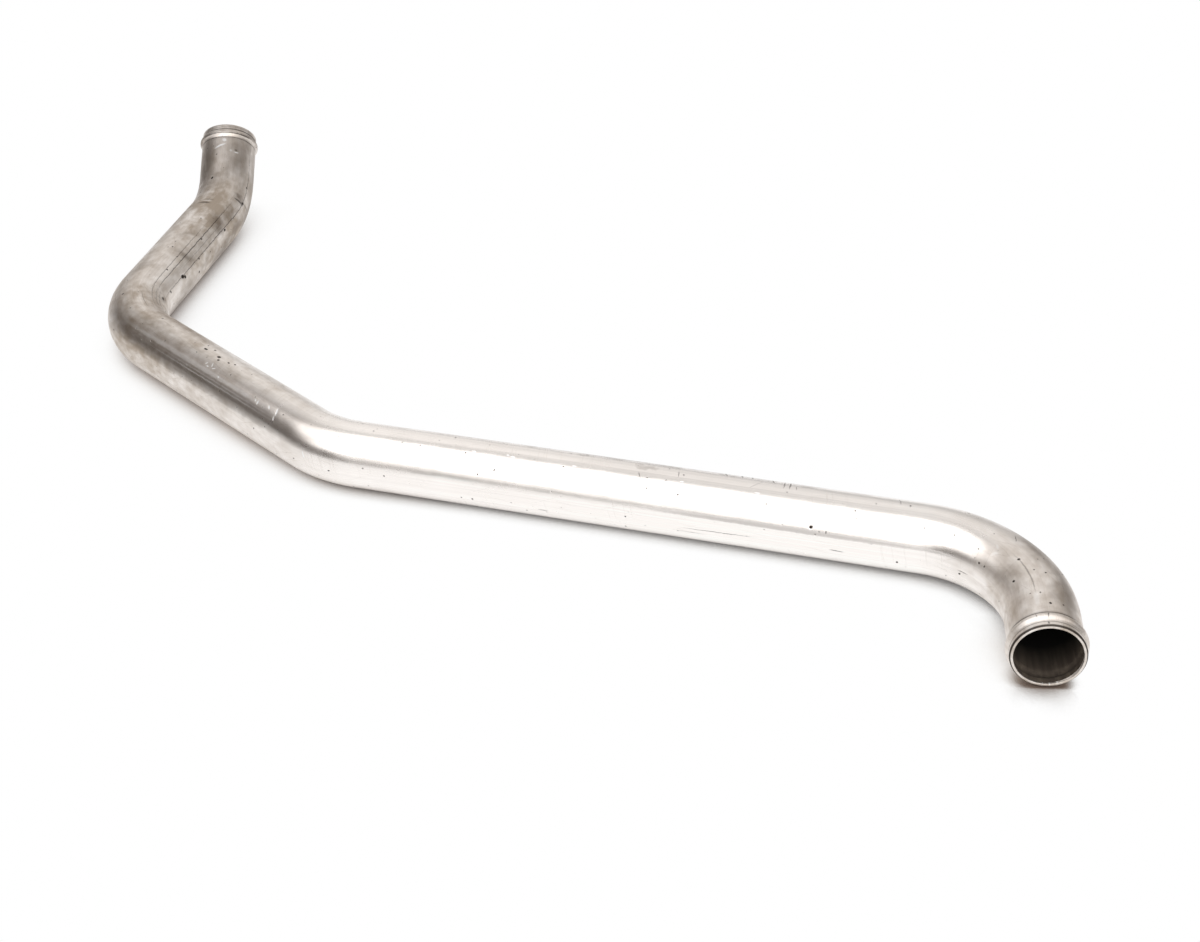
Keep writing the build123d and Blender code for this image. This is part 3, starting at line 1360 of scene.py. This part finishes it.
@dataclass(frozen=True)
class Shade:
    """The floor's shade by openness, the share of the sky that the pipe leaves open to a place.

    It is full up to one openness and none from another. Up to a third one it also darkens to
    black. All but the first shade hold within a round area, whole up to the near distance from
    its centre and gone at the far one.
    """

    colour: str
    black_to: float
    full_at: float
    none_at: float
    centre: tuple[float, float, float] = (0.0, 0.0, 0.0)
    near: float = 0.0
    far: float = 0.0


@dataclass
class Studio:
    """The floor, the softbox, the walls and the camera."""

    floor_radius: float = 30.0
    floor_step: int = 5
    floor_colour: str = "#F2F2F0"
    shelter_reach: float = 0.3
    shelter_samples: int = 8
    blackest_at: float = 0.02
    contact_light: float = 0.1
    # The softbox hangs before the right half, so there the floor's shade is dark and narrow, and
    # at the left half it is paler and wide. It is wide beside and before the front mouth too.
    shades: tuple[Shade, ...] = (
        Shade("#7A6E66", 0.16, 0.05, 0.42),
        Shade("#B0A196", 0.10, 0.05, 0.78, (-1.5, 0.0, 0.0), 1.24, 1.5),
        Shade("#CCC2B9", 0.10, 0.10, 0.80, (0.448, -0.320, 0.0), 0.03, 0.07),
        Shade("#7C6E64", 0.14, 0.53, 0.77, (0.500, -0.350, 0.0), 0.025, 0.05),
    )
    softbox_centre: tuple[float, float, float] = (0.40, -0.77, 0.80)
    softbox_target: tuple[float, float, float] = (0.42, -0.57, 0.0)
    softbox_size: tuple[float, float] = (3.48, 1.38)
    softbox_radiance: float = 1.45
    wall_colour: str = "#FFFDFB"
    dim_wall_colour: str = "#FFEADC"
    bright_from: float = 0.4
    wall_strength: float = 0.08
    wall_patches: tuple[WallPatch, ...] = (
        WallPatch(0.0, 58.0, 42.0, 0.66),
        WallPatch(36.0, 30.0, 34.0, 0.55),
        WallPatch(-36.0, 30.0, 34.0, 0.50),
        WallPatch(0.0, 12.0, 24.0, 0.47),
        WallPatch(-30.0, 12.0, 24.0, 0.43),
        WallPatch(180.0, 30.0, 34.0, 1.40),
        WallPatch(150.0, 12.0, 24.0, 1.30),
        WallPatch(150.0, 1.0, 20.0, 1.30),
    )
    camera_place_mm: tuple[float, float, float] = (501.29, -1564.67, 969.15)
    camera_target_mm: tuple[float, float, float] = (74.77, -123.55, 0.0)
    camera_roll: float = -0.67
    camera_lens: float = 58.31

    def floor(self) -> bpy.types.Object:
        """Make the pale floor, a disc far larger than any view of the pipe.

        Returns:
            The floor.
        """
        steps = np.radians(np.arange(0, 360, self.floor_step))
        rim = [(self.floor_radius * math.cos(a), self.floor_radius * math.sin(a), 0.0) for a in steps]
        mesh = bpy.data.meshes.new("studio_floor")
        mesh.from_pydata(rim, [], [list(range(len(rim)))])
        floor = bpy.data.objects.new("studio_floor", mesh)
        bpy.context.scene.collection.objects.link(floor)
        mesh.materials.append(self.floor_paper())
        return floor

    def shaded(self, tree: Tree) -> tuple[Socket, Socket]:
        """Shade the floor where the pipe shelters it, in its own way at each local shade.

        Args:
            tree: the material's nodes.

        Returns:
            The floor's colour, and how far it is free of shade.
        """
        openness = add_node(
            tree,
            "ShaderNodeAmbientOcclusion",
            {"Distance": self.shelter_reach},
            samples=self.shelter_samples,
        ).outputs["AO"]
        place = add_node(tree, "ShaderNodeNewGeometry").outputs["Position"]
        first = self.shades[0]
        shade: Any = linear_from_hex(first.colour)
        bounds: list[Any] = [first.black_to, first.full_at, first.none_at]
        for local in self.shades[1:]:
            away = add_node(
                tree, "ShaderNodeVectorMath", {0: place, 1: local.centre}, operation="DISTANCE"
            ).outputs["Value"]
            here = add_node(
                tree,
                "ShaderNodeMapRange",
                {"Value": away, "From Min": local.far, "From Max": local.near},
            ).outputs[0]
            shade = coated(tree, shade, (here, local.colour))
            ends = (local.black_to, local.full_at, local.none_at)
            bounds = [
                add_node(
                    tree, "ShaderNodeMix", {0: here, 2: bound, 3: end}, data_type="FLOAT"
                ).outputs[0]
                for bound, end in zip(bounds, ends)
            ]
        black_to, full_at, none_at = bounds
        open_share = add_node(
            tree,
            "ShaderNodeMapRange",
            {"Value": openness, "From Min": full_at, "From Max": none_at},
            interpolation_type="SMOOTHSTEP",
        ).outputs[0]
        light = add_node(
            tree,
            "ShaderNodeMapRange",
            {
                "Value": openness,
                "From Min": self.blackest_at,
                "From Max": black_to,
                "To Min": self.contact_light,
            },
        ).outputs[0]
        shade = add_node(
            tree, "ShaderNodeVectorMath", {0: shade, 3: light}, operation="SCALE"
        ).outputs[0]
        return coated(tree, shade, (open_share, self.floor_colour)), open_share

    def floor_paper(self) -> bpy.types.Material:
        """Make the floor's paper: pale, and plain white away from the pipe for what looks at it.

        Returns:
            The new material.
        """
        material = bpy.data.materials.new("pale_studio_paper")
        material.use_nodes = True
        tree = material.node_tree
        tree.nodes.clear()
        ray = add_node(tree, "ShaderNodeLightPath").outputs
        seen = ray["Is Camera Ray"]
        for kind in ("Is Glossy Ray", "Is Transmission Ray"):
            seen = add_node(
                tree, "ShaderNodeMath", {0: seen, 1: ray[kind]}, operation="ADD", use_clamp=True
            ).outputs[0]
        colour, open_share = self.shaded(tree)
        share = add_node(
            tree, "ShaderNodeMath", {0: seen, 1: open_share}, operation="MULTIPLY"
        ).outputs[0]
        paper = add_node(tree, "ShaderNodeBsdfDiffuse", {"Color": colour})
        white = add_node(tree, "ShaderNodeEmission", {"Strength": 1.0})
        mixed = add_node(
            tree, "ShaderNodeMixShader", {0: share, 1: paper.outputs[0], 2: white.outputs[0]}
        )
        add_node(tree, "ShaderNodeOutputMaterial", {"Surface": mixed.outputs[0]})
        return material

    def softbox(self) -> bpy.types.Object:
        """Hang the one large softbox above and in front of the pipe.

        Returns:
            The softbox.
        """
        lamp = bpy.data.lights.new("softbox", "AREA")
        lamp.shape = "RECTANGLE"
        lamp.size, lamp.size_y = self.softbox_size
        # A lamp's energy is its radiance times pi times its area.
        lamp.energy = self.softbox_radiance * math.pi * lamp.size * lamp.size_y
        softbox = bpy.data.objects.new("softbox", lamp)
        centre = Vector(self.softbox_centre)
        aim = Vector(self.softbox_target) - centre
        softbox.rotation_euler = aim.to_track_quat("-Z", "Y").to_euler()
        softbox.location = centre
        softbox.visible_camera = False
        bpy.context.scene.collection.objects.link(softbox)
        return softbox

    def surroundings(self) -> None:
        """Set the studio's walls round the pipe, with their paler and darker parts."""
        world = bpy.data.worlds.new("studio_walls")
        bpy.context.scene.world = world
        world.use_nodes = True
        tree = world.node_tree
        tree.nodes.clear()
        direction = add_node(tree, "ShaderNodeTexCoord").outputs["Generated"]
        strength: Any = self.wall_strength
        for patch in self.wall_patches:
            facing = add_node(
                tree,
                "ShaderNodeVectorMath",
                {0: direction, 1: patch.direction()},
                operation="DOT_PRODUCT",
            ).outputs["Value"]
            share = add_node(
                tree,
                "ShaderNodeMapRange",
                {
                    "Value": facing,
                    "From Min": math.cos(math.radians(patch.width)),
                    "To Max": patch.strength,
                },
                interpolation_type="SMOOTHSTEP",
            ).outputs[0]
            strength = add_node(
                tree, "ShaderNodeMath", {0: strength, 1: share}, operation="ADD"
            ).outputs[0]
        lit_share = add_node(
            tree,
            "ShaderNodeMapRange",
            {"Value": strength, "From Min": self.wall_strength, "From Max": self.bright_from},
        ).outputs[0]
        colour = coated(tree, self.dim_wall_colour, (lit_share, self.wall_colour))
        sky = add_node(tree, "ShaderNodeBackground", {"Color": colour, "Strength": strength})
        add_node(tree, "ShaderNodeOutputWorld", {"Surface": sky.outputs[0]})

    def camera(self) -> bpy.types.Object:
        """Place the camera at the photograph's viewing angle.

        Returns:
            The camera.
        """
        data = bpy.data.cameras.new("camera")
        data.lens = self.camera_lens
        camera = bpy.data.objects.new("camera", data)
        place = Vector(self.camera_place_mm) * MM
        aim = (Vector(self.camera_target_mm) * MM - place).to_track_quat("-Z", "Y")
        roll = Matrix.Rotation(math.radians(self.camera_roll), 4, "Z")
        camera.matrix_world = Matrix.Translation(place) @ aim.to_matrix().to_4x4() @ roll
        bpy.context.scene.collection.objects.link(camera)
        bpy.context.scene.camera = camera
        return camera

    def build(self) -> None:
        """Set up the whole studio."""
        self.floor()
        self.softbox()
        self.surroundings()
        self.camera()
        bpy.context.scene.view_settings.view_transform = "Standard"


@dataclass
class WaterPipe:
    """The pipe: its route, its skin and its two finishes."""

    record: dict[str, Any]
    mount_depth_mm: float = 3.0

    def build(self) -> bpy.types.Object:
        """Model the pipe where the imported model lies, and dress it.

        Returns:
            The pipe's skin.
        """
        end = HoseEnd()
        route = Route()
        route.lay_down(end.bead_height_mm, end.bead_setback_mm)
        mounts = {mount["name"]: mount for mount in self.record["mounts"]}
        route.shift_to(mounts["front_mouth"], self.mount_depth_mm)
        pipe = PipeSkin(route, end).build("water_pipe_skin")
        pipe.data.materials.append(DrawnAluminium().build())
        pipe.data.materials.append(StainedAndShadedBore(route.length_mm).build())
        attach(pipe, "root")
        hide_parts("water_pipe")
        return pipe


def main() -> None:
    """Build the pipe and its studio in order, and log the pipe's face count."""
    logging.basicConfig(level=logging.INFO, format="%(name)s: %(message)s")
    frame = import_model()
    pipe = WaterPipe(frame["record"]).build()
    log.info("%s: %d faces", pipe.name, len(pipe.data.polygons))
    Studio().build()
    bpy.context.view_layer.update()


if __name__ == "__main__":
    main()
